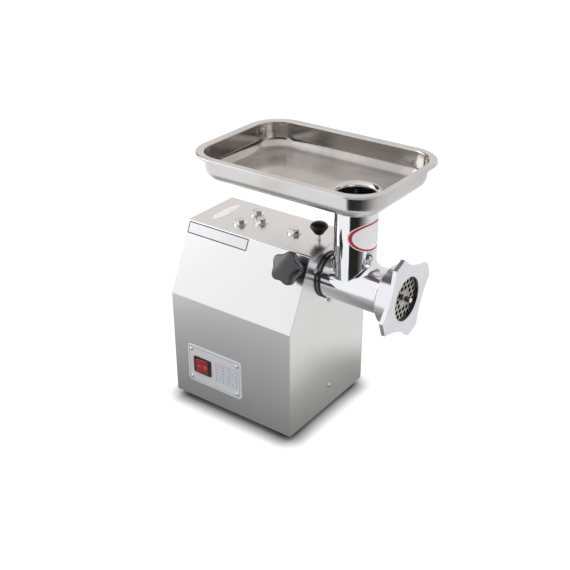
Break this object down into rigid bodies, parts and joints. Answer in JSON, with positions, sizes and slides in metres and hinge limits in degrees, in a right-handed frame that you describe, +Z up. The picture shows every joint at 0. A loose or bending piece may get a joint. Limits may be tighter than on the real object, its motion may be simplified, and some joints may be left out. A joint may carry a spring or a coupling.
{
  "type": "electric meat grinder",
  "caption": "Countertop electric meat grinder: stainless motor casing, removable grinding head with auger, feed tray, clamp knob, locking pin and rocker switch.",
  "frame": {"origin": "centre of the bounding box in plan, on the surface the four feet stand on", "axes": "+X from the motor end to the grinding head's outlet, +Y away from the switch side, +Z up"},
  "size_m": [0.356, 0.2018, 0.4006],
  "materials": {
    "casing_steel": "polished stainless sheet",
    "panel_steel": "mirror polished stainless sheet",
    "bolt_steel": "bright plated steel",
    "screw_steel": "stainless steel",
    "black_rubber": "matt black rubber",
    "plate_alu": "satin aluminium",
    "black_plastic": "satin black plastic",
    "red_plastic": "glossy translucent red plastic",
    "cast_alu": "as-cast aluminium alloy",
    "painted_steel": "dark grey paint",
    "lamination": "stamped silicon steel stack",
    "copper_wire": "varnished copper wire",
    "plain_steel": "ground steel",
    "bearing_steel": "ground bearing steel",
    "cream_plastic": "off-white moulded plastic",
    "brass_bush": "turned brass",
    "head_chrome": "polished tin-plated casting",
    "knife_steel": "ground stainless steel",
    "nut_chrome": "polished tin-plated casting, matt face",
    "tray_steel": "satin stainless sheet",
    "knob_black": "glossy black phenolic",
    "nylon_gear": "natural nylon"
  },
  "bodies": {
    "housing": {"base_plate": "panel_steel", "near_side_panel": "casing_steel", "far_side_panel": "casing_steel", "front_panel": "panel_steel", "rear_panel": "panel_steel", "top_plate": "casing_steel", "top_bolts": "bolt_steel", "top_washers": "bolt_steel", "panel_screws": "screw_steel", "feet": "black_rubber", "foot_screws": "screw_steel", "foot_nuts": "screw_steel", "data_plate": "plate_alu", "plate_rivets": "plate_alu", "switch_body": "black_plastic", "cord_gland": "black_plastic", "gland_nut": "black_plastic", "gear_case": "cast_alu", "gear_cover": "cast_alu", "cover_screws": "screw_steel", "output_bearings": "bearing_steel", "bearing_spacer": "plain_steel", "nose_seal": "black_rubber", "idler_bearings": "bearing_steel", "drive_bell": "cast_alu", "fan_bell": "cast_alu", "motor_can": "painted_steel", "stator_core": "lamination", "windings": "copper_wire", "tie_bolts": "screw_steel", "motor_bearings": "bearing_steel", "motor_bracket": "painted_steel", "capacitor": "cream_plastic", "pin_bush": "bolt_steel", "pin_spring": "plain_steel"},
    "rocker": {"rocker": "red_plastic"},
    "motor_rotor": {"motor_shaft": "plain_steel", "rotor_core": "lamination", "motor_pinion": "plain_steel", "cooling_fan": "cream_plastic"},
    "idler": {"idler_shaft": "plain_steel", "idler_gear": "nylon_gear"},
    "output": {"output_shaft": "plain_steel", "output_gear": "plain_steel"},
    "head": {"head_casting": "head_chrome", "head_ring": "black_rubber", "plate_key": "knife_steel"},
    "auger": {"auger": "head_chrome", "auger_washer": "cream_plastic", "knife": "knife_steel"},
    "plate": {"cutting_plate": "knife_steel"},
    "ring_nut": {"ring_nut": "nut_chrome"},
    "tray": {"feed_tray": "tray_steel", "tray_spout": "tray_steel"},
    "clamp_pad": {"clamp_pad": "brass_bush"},
    "clamp_screw": {"clamp_screw": "bolt_steel", "clamp_knob": "knob_black"},
    "locking_pin": {"locking_pin": "bolt_steel", "ball_knob": "knob_black"}
  },
  "joints": [
    {"name": "rocker_tilt", "type": "hinge", "parent": "housing", "child": "rocker", "pos_m": [-0.1063, -0.0936, 0.0715], "axis": [0, 0, 1], "range_deg": [-14, 0]},
    {"name": "motor_spin", "type": "hinge", "parent": "housing", "child": "motor_rotor", "pos_m": [-0.05, 0, 0.1305], "axis": [1, 0, 0], "continuous": true},
    {"name": "idler_spin", "type": "hinge", "parent": "housing", "child": "idler", "pos_m": [-0.09, 0, 0.183], "axis": [1, 0, 0], "continuous": true},
    {"name": "output_spin", "type": "hinge", "parent": "housing", "child": "output", "pos_m": [-0.05, 0, 0.231], "axis": [1, 0, 0], "continuous": true},
    {"name": "head_slide", "type": "slide", "parent": "housing", "child": "head", "axis": [1, 0, 0], "range_m": [0, 0.06]},
    {"name": "auger_spin", "type": "hinge", "parent": "head", "child": "auger", "pos_m": [0.1, 0, 0.231], "axis": [1, 0, 0], "continuous": true},
    {"name": "plate_slide", "type": "slide", "parent": "head", "child": "plate", "axis": [1, 0, 0], "range_m": [0, 0.0196]},
    {"name": "nut_turn", "type": "hinge", "parent": "plate", "child": "ring_nut", "pos_m": [0.16, 0, 0.231], "axis": [1, 0, 0], "range_deg": [0, 2340]},
    {"name": "tray_lift", "type": "slide", "parent": "head", "child": "tray", "axis": [0, 0, 1], "range_m": [0, 0.05]},
    {"name": "clamp_pad_slide", "type": "slide", "parent": "housing", "child": "clamp_pad", "axis": [0, -0.9068, 0.4216], "range_m": [0, 0.005]},
    {"name": "clamp_turn", "type": "hinge", "parent": "clamp_pad", "child": "clamp_screw", "pos_m": [0.031, 0, 0.231], "axis": [0, -0.9068, 0.4216], "range_deg": [0, 1442]},
    {"name": "locking_pin_lift", "type": "slide", "parent": "housing", "child": "locking_pin", "axis": [0, 0, 1], "range_m": [0, 0.005], "stiffness_N_per_m": 400, "springref_m": -0.01, "deforming": ["pin_spring"]}
  ],
  "couplings": [
    {"joint": "idler_spin", "follows": "motor_spin", "ratio": -0.25},
    {"joint": "output_spin", "follows": "motor_spin", "ratio": 0.10294},
    {"joint": "auger_spin", "follows": "motor_spin", "ratio": 0.10294},
    {"joint": "plate_slide", "follows": "nut_turn", "m_per_rad": 0.00047746},
    {"joint": "clamp_turn", "follows": "clamp_pad_slide", "rad_per_m": 5026.5}
  ]
}
